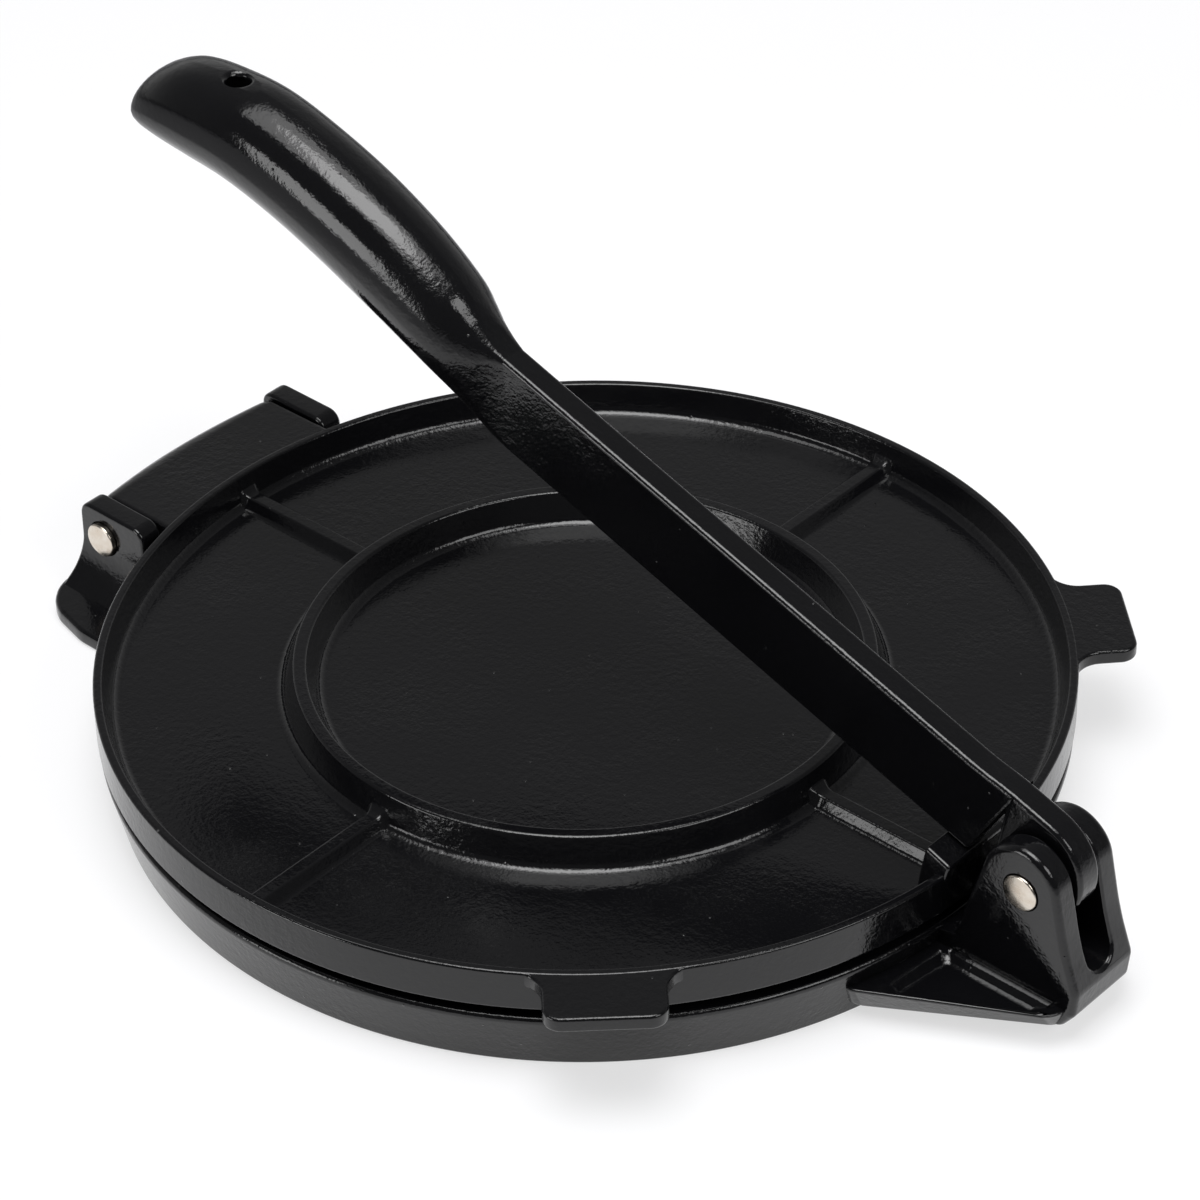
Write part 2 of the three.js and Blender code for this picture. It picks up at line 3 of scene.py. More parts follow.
import bmesh
import bpy
from mathutils import Matrix, Vector
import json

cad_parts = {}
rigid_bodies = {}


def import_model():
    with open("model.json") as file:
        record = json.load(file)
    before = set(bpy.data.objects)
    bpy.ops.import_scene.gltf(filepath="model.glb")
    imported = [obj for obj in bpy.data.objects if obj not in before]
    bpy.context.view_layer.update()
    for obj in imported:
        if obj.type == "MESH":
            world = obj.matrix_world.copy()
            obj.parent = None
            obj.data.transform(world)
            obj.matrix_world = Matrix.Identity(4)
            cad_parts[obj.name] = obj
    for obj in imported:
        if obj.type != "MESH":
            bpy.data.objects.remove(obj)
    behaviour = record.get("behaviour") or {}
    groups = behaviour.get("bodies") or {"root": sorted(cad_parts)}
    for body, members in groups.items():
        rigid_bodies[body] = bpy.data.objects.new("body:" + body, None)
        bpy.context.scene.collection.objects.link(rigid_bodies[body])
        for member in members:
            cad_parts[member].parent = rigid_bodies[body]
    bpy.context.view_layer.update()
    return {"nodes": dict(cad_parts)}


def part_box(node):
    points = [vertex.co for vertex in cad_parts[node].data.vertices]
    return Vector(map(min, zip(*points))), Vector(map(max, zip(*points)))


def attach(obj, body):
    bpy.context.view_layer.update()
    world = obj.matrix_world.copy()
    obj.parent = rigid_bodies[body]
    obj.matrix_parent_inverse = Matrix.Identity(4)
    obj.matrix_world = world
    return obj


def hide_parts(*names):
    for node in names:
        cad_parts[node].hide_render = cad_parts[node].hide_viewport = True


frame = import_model()
print("frame loaded:", ", ".join(frame["nodes"]))

# Everything is drawn in millimetres round the plates' axis, closed, and placed in the frame at the end.
mm = 0.001

fits = {
    "gap": 0.3,            # between castings that touch, and round a pin
    "over": 1.0,           # how far a joined shape runs into its neighbour
    "short": 0.02,         # what a radius stays short of its edge's length, so that two arcs don't meet
    "bore": 90.0,          # length of what cuts a pin's hole
    "open": 0.68,          # degrees that the closed upper plate stands open
    "weld": 0.0005,        # points nearer to each other than this become one
    "near": 0.01,          # how far off a point still counts as on a plane
}

pinLow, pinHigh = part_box("hinge_pin")
hinge = {"reach": 115.0, "height": 17.3}
plateX = (pinLow[0] + pinHigh[0]) / 2 + hinge["reach"] * mm


# Shapes: a wire of corners, rounded where a corner has a radius as third number, then spun or extruded

planes = {
    "side": lambda a, b: Vector((a, 0, b)),
    "plan": lambda a, b: Vector((a, b, 0)),
    "front": lambda a, b: Vector((0, a, b)),
}
outOf = {"side": Vector((0, 1, 0)), "plan": Vector((0, 0, 1)), "front": Vector((1, 0, 0))}


def wire(corners, plane, closed=True, segments=6):
    bm = bmesh.new()
    verts = [bm.verts.new(planes[plane](corner[0], corner[1])) for corner in corners]
    ends = verts[1:] + verts[:1] if closed else verts[1:]
    for start, end in zip(verts, ends):
        bm.edges.new((start, end))
    places = [vert.co.copy() for vert in verts]
    for i, (vert, corner) in enumerate(zip(verts, corners)):
        if len(corner) > 2:
            before = places[i] - places[i - 1]
            after = places[(i + 1) % len(places)] - places[i]
            reach = corner[2] * math.tan(before.angle(after) / 2)
            bmesh.ops.bevel(bm, geom=[vert], offset=reach, offset_type="OFFSET", segments=segments,
                            profile=0.5, affect="VERTICES", clamp_overlap=False, material=-1)
    return bm


def cleaned(bm):
    bmesh.ops.remove_doubles(bm, verts=bm.verts, dist=fits["weld"])
    bmesh.ops.recalc_face_normals(bm, faces=bm.faces)
    return bm


def asObject(bm, name):
    mesh = bpy.data.meshes.new(name)
    bm.to_mesh(mesh)
    bm.free()
    piece = bpy.data.objects.new(name, mesh)
    bpy.context.collection.objects.link(piece)
    return piece


def spunShape(corners, steps, segments=6, name="spun"):
    bm = wire(corners, "side", closed=False, segments=segments)
    bmesh.ops.spin(bm, geom=bm.verts[:] + bm.edges[:], cent=(0, 0, 0), axis=(0, 0, 1), dvec=(0, 0, 0),
                   angle=math.tau, steps=steps, use_merge=True, use_duplicate=False)
    return asObject(cleaned(bm), name)


def extrudedShape(corners, plane, start, end, segments=6, edge=0.0, name="extruded"):
    bm = wire(corners, plane, segments=segments)
    bmesh.ops.contextual_create(bm, geom=bm.edges[:])
    bmesh.ops.translate(bm, verts=bm.verts, vec=outOf[plane] * start)
    grown = bmesh.ops.extrude_face_region(bm, geom=bm.faces[:])
    top = [item for item in grown["geom"] if isinstance(item, bmesh.types.BMVert)]
    bmesh.ops.translate(bm, verts=top, vec=outOf[plane] * (end - start))
    cleaned(bm)
    if edge:
        roundEdges(bm, edge)
    return asObject(bm, name)


# Two plans with matching corners at two heights, joined by drafted walls
def draftedShape(bottomCorners, bottom, topCorners, top, segments=6, edge=0.0, name="extruded"):
    bm = bmesh.new()
    for corners, height in ((bottomCorners, bottom), (topCorners, top)):
        ring = wire(corners, "plan", segments=segments)
        bmesh.ops.translate(ring, verts=ring.verts, vec=(0, 0, height))
        mesh = bpy.data.meshes.new("ring")
        ring.to_mesh(mesh)
        ring.free()
        bm.from_mesh(mesh)
        bpy.data.meshes.remove(mesh)
    bmesh.ops.remove_doubles(bm, verts=bm.verts, dist=fits["weld"])
    bmesh.ops.bridge_loops(bm, edges=bm.edges[:])
    bmesh.ops.holes_fill(bm, edges=[e for e in bm.edges if e.is_boundary], sides=0)
    cleaned(bm)
    if edge:
        roundEdges(bm, edge, least=40)
    return asObject(bm, name)


def roundEdges(bm, width, least=32, segments=3, chosen=None):
    sharp = [e for e in bm.edges if e.is_manifold and e.calc_face_angle(0) > math.radians(least)
             and (chosen is None or chosen(e))]
    bmesh.ops.bevel(bm, geom=sharp, offset=width, offset_type="OFFSET", segments=segments, profile=0.5,
                    affect="EDGES", clamp_overlap=False, material=-1)


def combined(piece, others, operation="UNION"):
    for other in others:
        cut = piece.modifiers.new("join", "BOOLEAN")
        cut.operation = operation
        cut.solver = "MANIFOLD"
        cut.object = other
        bpy.context.view_layer.objects.active = piece
        bpy.ops.object.modifier_apply(modifier=cut.name)
        bpy.data.objects.remove(other)
    return piece


def copied(piece, matrix=Matrix()):
    twin = piece.copy()
    twin.data = piece.data.copy()
    bpy.context.collection.objects.link(twin)
    twin.data.transform(matrix)
    if matrix.determinant() < 0:
        twin.data.flip_normals()
    return twin


def mirroredPair(piece):
    return [piece, copied(piece, Matrix.Scale(-1, 4, (0, 1, 0)))]


# Flat parts are made single faces first, because a cut leaves them in slivers that a bevel can't cross
def rounded(piece, width, least=30, segments=3, chosen=None):
    bm = bmesh.new()
    bm.from_mesh(piece.data)
    bmesh.ops.dissolve_limit(bm, angle_limit=math.radians(0.5), verts=bm.verts, edges=bm.edges)
    roundEdges(bm, width, least, segments, chosen)
    cleaned(bm)
    bm.to_mesh(piece.data)
    bm.free()
    return piece


# A face that gets a hole is split through the hole's middle first, so that what is left has no hole in it
def splitAt(piece, height):
    bm = bmesh.new()
    bm.from_mesh(piece.data)
    bmesh.ops.bisect_plane(bm, geom=bm.verts[:] + bm.edges[:] + bm.faces[:], dist=0.0001, plane_co=(0, 0, height),
                           plane_no=(0, 0, 1), clear_inner=False, clear_outer=False)
    bm.to_mesh(piece.data)
    bm.free()
    return piece


def pinHole(x, z, steps=64):
    radius = pin["radius"] + fits["gap"]
    bm = bmesh.new()
    bmesh.ops.create_cone(bm, cap_ends=True, cap_tris=False, segments=steps, radius1=radius, radius2=radius,
                          depth=fits["bore"],
                          matrix=Matrix.Translation((x, 0, z)) @ Matrix.Rotation(math.pi / 2, 4, "X"))
    return asObject(bm, "pinHole")


def aboutHinge(degrees):
    pivot = Vector((-hinge["reach"], 0, hinge["height"]))
    return Matrix.Translation(pivot) @ Matrix.Rotation(math.radians(-degrees), 4, "Y") @ Matrix.Translation(-pivot)


def finished(piece, body, node, material, sharpFrom=38):
    mesh = piece.data
    mesh.transform(Matrix.Translation((plateX, 0, 0)) @ Matrix.Scale(mm, 4))
    bm = bmesh.new()
    bm.from_mesh(mesh)
    for face in bm.faces:
        face.smooth = True
    for e in bm.edges:
        e.smooth = e.calc_face_angle(0) < math.radians(sharpFrom)
    bm.to_mesh(mesh)
    bm.free()
    weigh = piece.modifiers.new("flat faces stay flat", "WEIGHTED_NORMAL")
    weigh.keep_sharp = True
    mesh.materials.clear()
    mesh.materials.append(material)
    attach(piece, body)
    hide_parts(node)
    print(piece.name, "ready:", len(mesh.polygons), "faces")
    return piece


# Materials

def linear(hexColor):
    parts = [int(hexColor[i:i + 2], 16) / 255 for i in (1, 3, 5)]
    return [p / 12.92 if p <= 0.04045 else ((p + 0.055) / 1.055) ** 2.4 for p in parts] + [1.0]


# Settings and links name a socket by its name, or by its number where names repeat
def addNode(tree, kind, settings=None, links=None):
    node = tree.nodes.new(kind)
    for key, value in (settings or {}).items():
        if isinstance(key, int) or key in node.inputs:
            node.inputs[key].default_value = value
        else:
            setattr(node, key, value)
    for key, source in (links or {}).items():
        tree.links.new(source, node.inputs[key])
    return node


def newMaterial(name):
    material = bpy.data.materials.new(name)
    material.use_nodes = True
    material.node_tree.nodes.clear()
    return material, material.node_tree


# Gloss black enamel, baked over a sand casting: deep black, wet gloss with orange peel and a few dust nibs
enamelLook = {
    "color": "#09090b",
    "thin": "#101012",       # a little greyer where the coat is thin
    "ior": 1.5,
    "roughness": (0.08, 0.16),
    "wear": 22.0,            # mm across the patches where gloss and peel change
    "peel": 1.5,             # mm between the low swells of the film
    "peelHeight": 0.11,      # mm, higher than on the real film, so that it shows in the render
    "sand": 0.55,            # mm, the casting's grain that still shows through, drawn as coarse as two pixels
    "sandHeight": 0.065,     # mm, higher than real as well
    "nibs": 6.0,             # mm between dust nibs
    "nibSize": 0.06,         # as a share of that
    "nibHeight": 0.12,       # mm, also higher than real
}


def glossBlackEnamel():
    look = enamelLook
    material, tree = newMaterial("glossBlackEnamel")
    place = addNode(tree, "ShaderNodeTexCoord").outputs["Object"]
    patches = addNode(tree, "ShaderNodeTexNoise", {"Scale": 1 / (look["wear"] * mm), "Detail": 3.0},
                      {"Vector": place})
    gloss = addNode(tree, "ShaderNodeMapRange", {
        "From Min": 0.35, "From Max": 0.65, "To Min": look["roughness"][0], "To Max": look["roughness"][1],
    }, {"Value": patches.outputs["Fac"]})
    coarse = addNode(tree, "ShaderNodeMapRange", {
        "From Min": 0.4, "From Max": 0.7, "To Min": 0.35, "To Max": 1.0,
    }, {"Value": patches.outputs["Fac"]})
    peel = addNode(tree, "ShaderNodeTexNoise", {"Scale": 1 / (look["peel"] * mm), "Detail": 1.5},
                   {"Vector": place})
    sand = addNode(tree, "ShaderNodeTexNoise", {"Scale": 1 / (look["sand"] * mm), "Detail": 2.0},
                   {"Vector": place})
    nibs = addNode(tree, "ShaderNodeTexVoronoi", {"Scale": 1 / (look["nibs"] * mm)}, {"Vector": place})
    nib = addNode(tree, "ShaderNodeMapRange", {
        "interpolation_type": "SMOOTHSTEP", "From Min": 0.0, "From Max": look["nibSize"],
        "To Min": 1.0, "To Max": 0.0,
    }, {"Value": nibs.outputs["Distance"]})
    swell = addNode(tree, "ShaderNodeBump", {"Distance": look["peelHeight"] * mm},
                    {"Height": peel.outputs["Fac"], "Strength": coarse.outputs["Result"]})
    grain = addNode(tree, "ShaderNodeBump", {"Distance": look["sandHeight"] * mm},
                    {"Height": sand.outputs["Fac"], "Normal": swell.outputs["Normal"],
                     "Strength": coarse.outputs["Result"]})
    dust = addNode(tree, "ShaderNodeBump", {"Strength": 1.0, "Distance": look["nibHeight"] * mm},
                   {"Height": nib.outputs["Result"], "Normal": grain.outputs["Normal"]})
    coat = addNode(tree, "ShaderNodeMix", {
        "data_type": "RGBA", 6: linear(look["color"]), 7: linear(look["thin"]),
    }, {"Factor": sand.outputs["Fac"]})
    shader = addNode(tree, "ShaderNodeBsdfPrincipled", {"IOR": look["ior"], "Metallic": 0.0}, {
        "Base Color": coat.outputs[2], "Roughness": gloss.outputs["Result"], "Normal": dust.outputs["Normal"],
    })
    addNode(tree, "ShaderNodeOutputMaterial", None, {"Surface": shader.outputs["BSDF"]})
    return material


# Nickel-plated steel rod, sheared and tumbled: bright, a little warm, with fine turning marks on the ends
nickelLook = {
    "color": "#e4e0d8",
    "shade": "#c9b8a4",
    "roughness": (0.16, 0.3),
    "marks": 0.35,         # mm between marks
    "markHeight": 0.003,   # mm
    "stain": 2.5,          # mm across a stain
}


def nickelPlate():
    look = nickelLook
    material, tree = newMaterial("nickelPlate")
    place = addNode(tree, "ShaderNodeTexCoord").outputs["Object"]
    stain = addNode(tree, "ShaderNodeTexNoise", {"Scale": 1 / (look["stain"] * mm), "Detail": 4.0},
                    {"Vector": place})
    tint = addNode(tree, "ShaderNodeMix", {
        "data_type": "RGBA", 6: linear(look["color"]), 7: linear(look["shade"]),
    }, {"Factor": stain.outputs["Fac"]})
    gloss = addNode(tree, "ShaderNodeMapRange", {
        "From Min": 0.3, "From Max": 0.7, "To Min": look["roughness"][0], "To Max": look["roughness"][1],
    }, {"Value": stain.outputs["Fac"]})
    marks = addNode(tree, "ShaderNodeTexNoise", {"Scale": 1 / (look["marks"] * mm), "Detail": 2.0},
                    {"Vector": place})
    bump = addNode(tree, "ShaderNodeBump", {"Strength": 1.0, "Distance": look["markHeight"] * mm},
                   {"Height": marks.outputs["Fac"]})
    shader = addNode(tree, "ShaderNodeBsdfPrincipled", {"Metallic": 1.0}, {
        "Base Color": tint.outputs[2], "Roughness": gloss.outputs["Result"], "Normal": bump.outputs["Normal"],
    })
    addNode(tree, "ShaderNodeOutputMaterial", None, {"Surface": shader.outputs["BSDF"]})
    return material


enamel = glossBlackEnamel()
nickel = nickelPlate()
print("materials ready")


# Upper plate: pan with ring, four ribs, two tabs, tongue and nose

upperPlate = {
    "radius": 104.0,
    "face": 14.2,          # underside when closed
    "height": 9.5,
    "floor": 2.7,
    "rim": 1.9,
    "rimRun": 2.0,
    "ring": 60.5,
    "ringWidth": 2.8,
    "ringRun": 2.6,
    "edge": 0.6,
    "faceEdge": 0.84,
    "ringEdge": 0.78,
    "hollow": 2.2,
    "steps": 240,
}
rib = {
    "width": 3.0, "height": 2.5, "run": 1.5, "edge": 0.7, "hollow": 1.3, "count": 4, "sink": 0.03, "cuts": 80,
    "flare": 2.4, "flareFrom": 0.2, "spread": 0.4,      # where an end climbs the wall: reach, lowest height, widening
}
tab = {
    "angle": 46.5, "reach": 116.5, "width": 24.5, "thickness": 3.4, "corner": 3.8, "hollow": 6.0,
    "edge": 0.7, "drop": 0.15, "sink": 0.2, "inset": 0.1,
}
tongue = {
    "width": 50.8, "back": 10.2, "bow": 2.6, "topRound": 6.2, "corner": 2.0, "edge": 0.7, "drop": 0.1,
    "frontCorner": 7.45, "frontReach": 9.72,     # where its round underside ends, in front of the pin
    "lift": 0.05, "root": 4.0, "cuts": 110,
}
nose = {"width": 20.0, "topWidth": 18.4, "inner": 96.4, "topInner": 98.0, "outer": 104.4, "edge": 0.8,
        "footBack": 1.9, "rimBack": 0.9}     # how far its outer wall stands back from its top, low down


def panShape():
    p = upperPlate
    top = p["face"] + p["height"]
    floor = p["face"] + p["floor"]
    half = p["ringWidth"] / 2
    return spunShape([
        (0, p["face"]),
        (p["radius"], p["face"], p["faceEdge"]),
        (p["radius"], top, p["edge"]),
        (p["radius"] - p["rim"], top, p["edge"]),
        (p["radius"] - p["rim"] - p["rimRun"], floor, p["hollow"]),
        (p["ring"] + half + p["ringRun"], floor, p["hollow"]),
        (p["ring"] + half, top, p["ringEdge"]),
        (p["ring"] - half, top, p["ringEdge"]),
        (p["ring"] - half - p["ringRun"], floor, p["hollow"]),
        (0, floor),
    ], p["steps"], name="upperPlateCasting")


def ribShape():
    p = upperPlate
    floor = p["face"] + p["floor"] - rib["sink"]
    half = rib["width"] / 2
    foot = half + rib["run"]
    skirt = foot + 2 * rib["hollow"]
    inner = p["ring"]
    outer = p["radius"] - p["rim"] - p["rimRun"] / 2
    piece = extrudedShape([
        (-skirt, floor - fits["over"]), (skirt, floor - fits["over"]), (skirt, floor),
        (foot, floor, rib["hollow"]), (half, floor + rib["height"], rib["edge"]),
        (-half, floor + rib["height"], rib["edge"]), (-foot, floor, rib["hollow"]), (-skirt, floor),
    ], "front", inner, outer, segments=4)
    bm = bmesh.new()
    bm.from_mesh(piece.data)
    long = [e for e in bm.edges if abs(e.verts[0].co.x - e.verts[1].co.x) > (outer - inner) / 2]
    bmesh.ops.subdivide_edges(bm, edges=long, cuts=rib["cuts"])
    innerWall = p["ring"] + p["ringWidth"] / 2 + p["ringRun"] * (1 - rib["height"] / (p["height"] - p["floor"]))
    for vert in bm.verts:
        if vert.co.z > floor + rib["flareFrom"]:
            room = min(vert.co.x - innerWall, outer - vert.co.x)
            rise = max(0.0, rib["flare"] - max(room, 0.0)) ** 2 / (2 * rib["flare"])
            vert.co.z += rise * (vert.co.z - floor) / rib["height"]
            vert.co.y *= 1 + rib["spread"] * rise
    bm.to_mesh(piece.data)
    bm.free()
    return piece


def tabShape():
    p = upperPlate
    half = tab["width"] / 2
    root = half + 2 * tab["hollow"]
    top = p["face"] + p["height"] - tab["drop"]
    inner = p["radius"] - p["rim"] - tab["inset"]

    def rimAt(y):
        return math.sqrt(p["radius"] ** 2 - y ** 2) - tab["sink"]

    piece = extrudedShape([
        (rimAt(root) - fits["over"], -root), (rimAt(root), -root), (rimAt(half), -half, tab["hollow"]),
        (tab["reach"], -half, tab["corner"]), (tab["reach"], half, tab["corner"]),
        (rimAt(half), half, tab["hollow"]), (rimAt(root), root), (rimAt(root) - fits["over"], root),
    ], "plan", top - tab["thickness"], top, segments=8, edge=tab["edge"])
    room = spunShape([(0, 0), (inner, 0), (inner, top + fits["over"]), (0, top + fits["over"])], p["steps"])
    return combined(piece, [room], "DIFFERENCE")


def tongueShape():
    p = upperPlate
    top = p["face"] + p["height"] - tongue["drop"]
    face = p["face"] + tongue["lift"]
    back = -hinge["reach"] - tongue["back"]
    low = hinge["height"] - tongue["back"]
    inside = -p["radius"] + p["rim"] + tongue["root"]
    half = tongue["width"] / 2
    piece = extrudedShape([
        (inside, face), (inside, top), (back, top, tongue["topRound"]), (back, low, tongue["back"] - fits["short"]),
        (-hinge["reach"] + tongue["frontCorner"], low, tongue["back"] - fits["short"]),
        (-hinge["reach"] + tongue["frontReach"], face),
    ], "side", -half, half, segments=14, edge=tongue["edge"])
    bm = bmesh.new()
    bm.from_mesh(piece.data)
    long = [e for e in bm.edges if abs(e.verts[0].co.y - e.verts[1].co.y) > half]
    bmesh.ops.subdivide_edges(bm, edges=long, cuts=tongue["cuts"])
    for vert in bm.verts:
        fromPin = vert.co.x + hinge["reach"]
        if fromPin < 0:
            pastCorner = min(max(0.0, abs(vert.co.y) - half + tongue["corner"]), tongue["corner"])
            inset = (tongue["bow"] * (vert.co.y / half) ** 2 + tongue["corner"]
                     - math.sqrt(tongue["corner"] ** 2 - pastCorner ** 2))
            vert.co.x = fromPin * (1 - inset / tongue["back"]) - hinge["reach"]
    bm.to_mesh(piece.data)
    bm.free()
    wall = tongue["root"] - inside
    room = spunShape([(0, 0), (wall, 0), (wall, top + fits["over"]), (0, top + fits["over"])], p["steps"])
    return combined(piece, [room], "DIFFERENCE")


def noseShape():
    slope = math.tan(math.radians(lever["angle"]))
    drop = lever["bottom"] / math.cos(math.radians(lever["angle"])) + fits["gap"]

    def topAt(x):
        return lever["z"] - drop + (lever["x"] - x) * slope

    foot = upperPlate["face"] + upperPlate["floor"]
    rim = upperPlate["face"] + upperPlate["height"]
    half, topHalf = nose["width"] / 2, nose["topWidth"] / 2
    side = extrudedShape([
        (nose["inner"], foot), (nose["outer"] - nose["footBack"], foot), (nose["outer"] - nose["rimBack"], rim),
        (nose["outer"], topAt(nose["outer"])), (nose["topInner"], topAt(nose["topInner"])),
    ], "side", -half, half)
    front = extrudedShape([
        (-half - fits["over"], foot), (half + fits["over"], foot), (half, rim),
        (topHalf, topAt(nose["topInner"])), (-topHalf, topAt(nose["topInner"])), (-half, rim),
    ], "front", nose["inner"] - fits["over"], nose["outer"] + fits["over"])
    return rounded(combined(side, [front], "INTERSECT"), nose["edge"], 20)


def makeUpperPlate():
    pan = panShape()
    ribs = [copied(ribShape(), Matrix.Rotation(math.tau * i / rib["count"], 4, "Z")) for i in range(rib["count"])]
    tabs = [copied(tabShape(), Matrix.Rotation(math.radians(side * tab["angle"]), 4, "Z")) for side in (1, -1)]
    combined(pan, [*ribs, *tabs, tongueShape()])
    combined(pan, [pinHole(-hinge["reach"], hinge["height"])], "DIFFERENCE")
    pan.data.transform(aboutHinge(fits["open"]))
    combined(pan, [noseShape()])
    for left in [o for o in bpy.data.objects if o.name.startswith("extruded")]:
        bpy.data.objects.remove(left)
    return finished(pan, "upper", "upper_plate", enamel)


# Lower plate: base with hinge flange and ears, clevis and its foot

lowerPlate = {
    "radius": 104.0, "height": 13.9, "draft": 3.2, "web": 5.0, "wall": 5.0,
    "ribHeight": 6.0, "ribWidth": 4.0, "ribEdge": 0.6, "ribCount": 4, "edge": 1.3, "footEdge": 0.8,
    "hollow": 2.0, "steps": 240, "inset": 1.5,     # the last is how far ears, flange and clevis run in
}
ear = {
    "gap": 0.4, "thickness": 5.7, "rise": 7.1, "back": 7.3, "front": 12.6, "topRound": 3.2,
    "foot": 9.8, "flare": 6.0, "flareRound": 14.0, "backRound": 40.0, "edge": 0.8,
    "sink": 0.4, "drop": 1.2, "inset": 1.2,     # how its root stays inside the flange and the plate
}
flange = {
    "thickness": 3.8, "back": 10.2, "halfWidth": 37.0, "sideBack": 5.0, "side": 43.8, "rootFront": 6.5,
    "root": 46.6, "corner": 10.5, "edge": 1.0,
}
clevis = {
    "slot": 8.0, "ear": 5.7, "head": 9.1, "headTop": 42.7, "outerCorner": 128.72, "innerCorner": 114.5,
    "slotFloor": 14.7, "slotRound": 3.6, "slotRun": (7.0, 2.0), "root": 106.2, "drop": 1.2,
    "toe": 136.6, "toeHeight": 13.4, "toeRound": 3.0, "chin": 136.0, "chinHeight": 7.6, "chinRound": 2.6,
    "waist": 133.2, "waistHeight": 22.5, "waistRound": 60.0, "bottom": 132.8, "edge": 0.7, "corner": 1.5,
}
foot = {
    "bottom": 3.2, "top": 9.0, "rootReach": 98.5, "rootWidth": 32.8, "rootDraft": 2.4, "tipReach": 134.2,
    "tipWidth": 13.0, "tipDraft": 4.2, "corner": 4.5, "edge": 0.7, "inset": 6.0,
}
pocket = {
    "depth": 1.8, "lean": 1.8, "round": 1.6, "side": 10.3, "start": 104.9, "tip": 132.0, "tipWidth": 12.8,
    "rootReach": 103.2, "rootWidth": 28.6, "hollow": 0.8, "leanIn": 0.5,
}


def basePlateShape():
    p = lowerPlate
    web = p["height"] - p["web"]
    ribBottom = web - p["ribHeight"]
    inner = p["radius"] - p["draft"] - p["wall"]
    half = p["ribWidth"] / 2
    ring = upperPlate["ring"]
    plate = spunShape([
        (0, web), (ring - half, web, p["hollow"]), (ring - half, ribBottom, p["ribEdge"]),
        (ring + half, ribBottom, p["ribEdge"]), (ring + half, web, p["hollow"]), (inner, web, p["hollow"]),
        (inner, 0, p["ribEdge"]), (p["radius"] - p["draft"], 0, p["footEdge"]),
        (p["radius"], p["height"], p["edge"]), (0, p["height"]),
    ], p["steps"], name="lowerPlateCasting")
    spoke = extrudedShape([
        (-half, ribBottom, p["ribEdge"]), (half, ribBottom, p["ribEdge"]), (half, web + fits["over"]),
        (-half, web + fits["over"]),
    ], "front", ring, inner + fits["over"], segments=4)
    return combined(plate, [copied(spoke, Matrix.Rotation(math.tau * i / p["ribCount"], 4, "Z"))
                            for i in range(p["ribCount"])])


def hingeShapes():
    p = lowerPlate
    inside = -(p["radius"] - p["draft"] - p["inset"])
    axis = -hinge["reach"]
    back = axis - flange["back"]
    plate = extrudedShape([
        (inside, -flange["root"]), (inside, flange["root"]),
        (axis + flange["rootFront"], flange["root"], flange["corner"]),
        (axis - flange["sideBack"], flange["side"], flange["corner"]),
        (back, flange["halfWidth"], flange["corner"]), (back, -flange["halfWidth"], flange["corner"]),
        (axis - flange["sideBack"], -flange["side"], flange["corner"]),
        (axis + flange["rootFront"], -flange["root"], flange["corner"]),
    ], "plan", 0, flange["thickness"], segments=8, edge=flange["edge"])
    top = hinge["height"] + ear["rise"]
    low, high, root = ear["sink"], flange["thickness"] - ear["sink"], p["height"] - ear["drop"]
    ears = extrudedShape([
        (inside, low), (inside, root), (axis + ear["front"], root),
        (axis + ear["front"], top, ear["topRound"]), (axis - ear["back"], top, ear["topRound"]),
        (axis - ear["back"], ear["foot"], ear["backRound"]), (back + ear["inset"], high),
        (back + ear["inset"], low),
    ], "side", -flange["side"], flange["side"], segments=8)
    inner = tongue["width"] / 2 + ear["gap"]
    outer = inner + ear["thickness"]
    front = extrudedShape([
        (inner, low), (outer + ear["flare"], low), (outer + ear["flare"], high),
        (outer, ear["foot"], ear["flareRound"]), (outer, top + fits["over"]), (inner, top + fits["over"]),
    ], "front", back, inside, segments=8)
    pair = combined(front, [copied(front, Matrix.Scale(-1, 4, (0, 1, 0)))])
    combined(ears, [pair], "INTERSECT")
    return [plate, rounded(ears, ear["edge"], 40)]


def clevisShape():
    inside = lowerPlate["radius"] - lowerPlate["draft"] - lowerPlate["inset"]
    half = clevis["slot"] / 2 + clevis["ear"]
    block = extrudedShape([
        (inside, foot["bottom"]), (clevis["bottom"], foot["bottom"]),
        (clevis["chin"], clevis["chinHeight"], clevis["chinRound"]),
        (clevis["toe"], clevis["toeHeight"], clevis["toeRound"]),
        (clevis["waist"], clevis["waistHeight"], clevis["waistRound"]),
        (clevis["outerCorner"], clevis["headTop"], clevis["head"]),
        (clevis["innerCorner"], clevis["headTop"], clevis["head"]),
        (clevis["root"], lowerPlate["height"]), (inside, lowerPlate["height"] - clevis["drop"]),
    ], "side", -half, half, segments=14)
    rounded(block, clevis["corner"], 40, 6, lambda e: max(v.co.x for v in e.verts) > inside + fits["over"])
    slotHalf = clevis["slot"] / 2
    slot = extrudedShape([
        (-slotHalf, clevis["slotFloor"], clevis["slotRound"]), (slotHalf, clevis["slotFloor"], clevis["slotRound"]),
        (slotHalf, clevis["headTop"] + fits["over"]), (-slotHalf, clevis["headTop"] + fits["over"]),
    ], "front", clevis["root"] - clevis["slotRun"][0], clevis["toe"] + clevis["slotRun"][1], segments=6)
    combined(block, [slot], "DIFFERENCE")

    def alongSlot(edge):
        near = fits["near"]
        return all(abs(v.co.y) < slotHalf + near and v.co.z > clevis["slotFloor"] - near for v in edge.verts)

    return splitAt(rounded(block, clevis["edge"], 40, 3, alongSlot), lever["z"])


